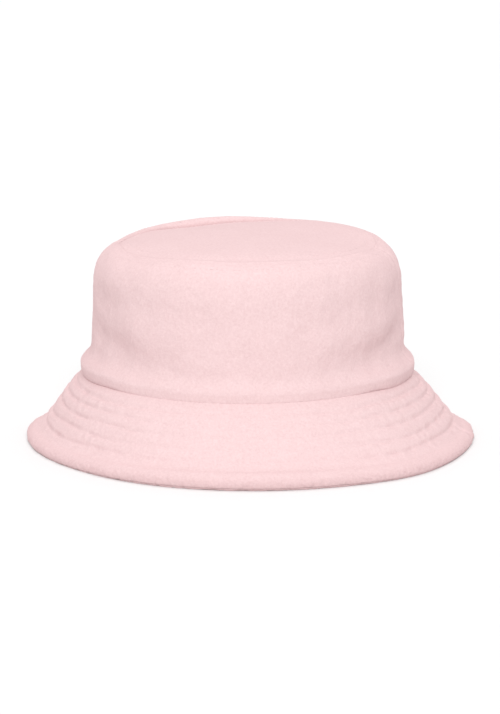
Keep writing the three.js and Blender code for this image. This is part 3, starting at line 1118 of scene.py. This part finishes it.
def make_side_tape(name, middle):
    azimuth = part_turn(middle, SIDE_TAPE_WIDTH, 92 * MM, 0.6 * MM)
    heights = np.linspace(BAND_TOP + 0.3 * MM, TIP_SEAM - SHOULDER_DROP + 10 * MM, 30)
    radius = wall_radius(azimuth, heights) - CLOTH - 0.35 * MM
    line = np.stack([radius, np.broadcast_to(heights, radius.shape)], axis=-1)
    piece = lining_shell(name + "_cloth", azimuth, line, TAPE_THICKNESS, False, LINING)
    placed(piece, [name])


def make_label(name, degrees, size):
    """A blank label of a (width, height) on the inside of the sweatband."""
    width, height = size
    low = WALL_FOOT + LABEL_LIFT
    azimuth = part_turn(math.radians(degrees), width, 90 * MM, 0.5 * MM)
    band = offset(band_line(azimuth), BAND_THICKNESS + 0.12 * MM)
    heights = np.linspace(low, low + height, 20)
    radius = np.array([np.interp(heights, row[:, 1], row[:, 0]) for row in band])
    line = np.stack([radius, np.broadcast_to(heights, radius.shape)], axis=-1)
    piece = lining_shell(name + "_cloth", azimuth, line, LABEL_THICKNESS, False, SATIN)
    placed(piece, [name])


def make_stiffener(front):
    azimuth = half_turn(front, EDGE_RADIUS, 1.6 * MM)
    shares = np.linspace(0.01, 0.93, 36)
    middle = brim_middle(azimuth, shares)
    way = normals_of(middle)
    name = "brim_stiffener_" + ("front" if front else "back")
    outer, inner = middle + way * STIFFENER / 2, middle - way * STIFFENER / 2
    piece = swept(name + "_cloth", azimuth, outer, inner, False, 0.0)
    piece.data.materials.append(INTERLINING)
    placed(piece, [name])


for is_front in (True, False):
    make_wall(is_front)
    for ply_side in (1, -1):
        make_brim_ply(is_front, ply_side)
    make_stiffener(is_front)
make_tip()
make_brim_rows()
make_tip_rows()
make_sweatband()
make_tip_tape()
make_side_tape("side_seam_tape_right", 0.0)
make_side_tape("side_seam_tape_left", math.pi)
make_label("care_label", 106, CARE_LABEL)
make_label("size_label", 90, SIZE_LABEL)


# ---------------------------------------------------------------- floor, light and camera

def make_floor():
    mesh = bpy.data.meshes.new("floor")
    corners = [(x * FLOOR_REACH, y * FLOOR_REACH, 0) for x, y in ((-1, -1), (1, -1), (1, 1), (-1, 1))]
    mesh.from_pydata(corners, [], [(0, 1, 2, 3)])
    floor = linked("floor", mesh)
    material, _, shader = new_material("pale_floor")
    shader.inputs["Base Color"].default_value = (FLOOR_PALE, FLOOR_PALE, FLOOR_PALE, 1.0)
    shader.inputs["Roughness"].default_value = 1.0
    shader.inputs["Specular IOR Level"].default_value = 0.1
    mesh.materials.append(material)


def toward(turn, rise):
    """The direction from the hat at an angle to the camera's side and over the table, in radians."""
    turn += CAMERA_TURN
    level = math.cos(rise)
    return Vector((math.sin(turn) * level, -math.cos(turn) * level, math.sin(rise)))


def make_light(name, turn, rise, spread, strength):
    """A distant softbox: its direction and spread in degrees as seen from the hat, and its strength."""
    data = bpy.data.lights.new(name, "SUN")
    data.angle = math.radians(spread)
    data.energy = strength
    lamp = bpy.data.objects.new(name, data)
    way = toward(math.radians(turn), math.radians(rise))
    lamp.rotation_euler = way.to_track_quat("Z", "Y").to_euler()
    bpy.context.scene.collection.objects.link(lamp)


def make_camera():
    data = bpy.data.cameras.new("camera")
    data.lens = LENS_MM
    data.clip_start = 0.05
    camera = bpy.data.objects.new("camera", data)
    back = toward(0.0, CAMERA_RISE)
    camera.location = CAMERA_AIM + back * CAMERA_REACH
    camera.rotation_euler = (-back).to_track_quat("-Z", "Y").to_euler()
    bpy.context.scene.collection.objects.link(camera)
    bpy.context.scene.camera = camera


def make_world():
    """Even light from all round, with a white backdrop behind."""
    world = bpy.data.worlds.new("studio")
    world.use_nodes = True
    tree = world.node_tree
    backdrop = tree.nodes["Background"]
    path = tree.nodes.new("ShaderNodeLightPath")
    level = node(tree, "ShaderNodeMapRange", Value=path.outputs["Is Camera Ray"])
    level.inputs["To Min"].default_value = WORLD_LIGHT
    level.inputs["To Max"].default_value = 1.0
    tree.links.new(level.outputs[0], backdrop.inputs["Strength"])
    backdrop.inputs["Color"].default_value = (1.0, 1.0, 1.0, 1.0)
    bpy.context.scene.world = world
    bpy.context.scene.view_settings.view_transform = "Standard"


make_floor()
make_world()
make_light("key_softbox", turn=-1, rise=35, spread=40, strength=KEY_LIGHT)
make_light("top_softbox", turn=180, rise=78, spread=90, strength=TOP_LIGHT)
make_camera()
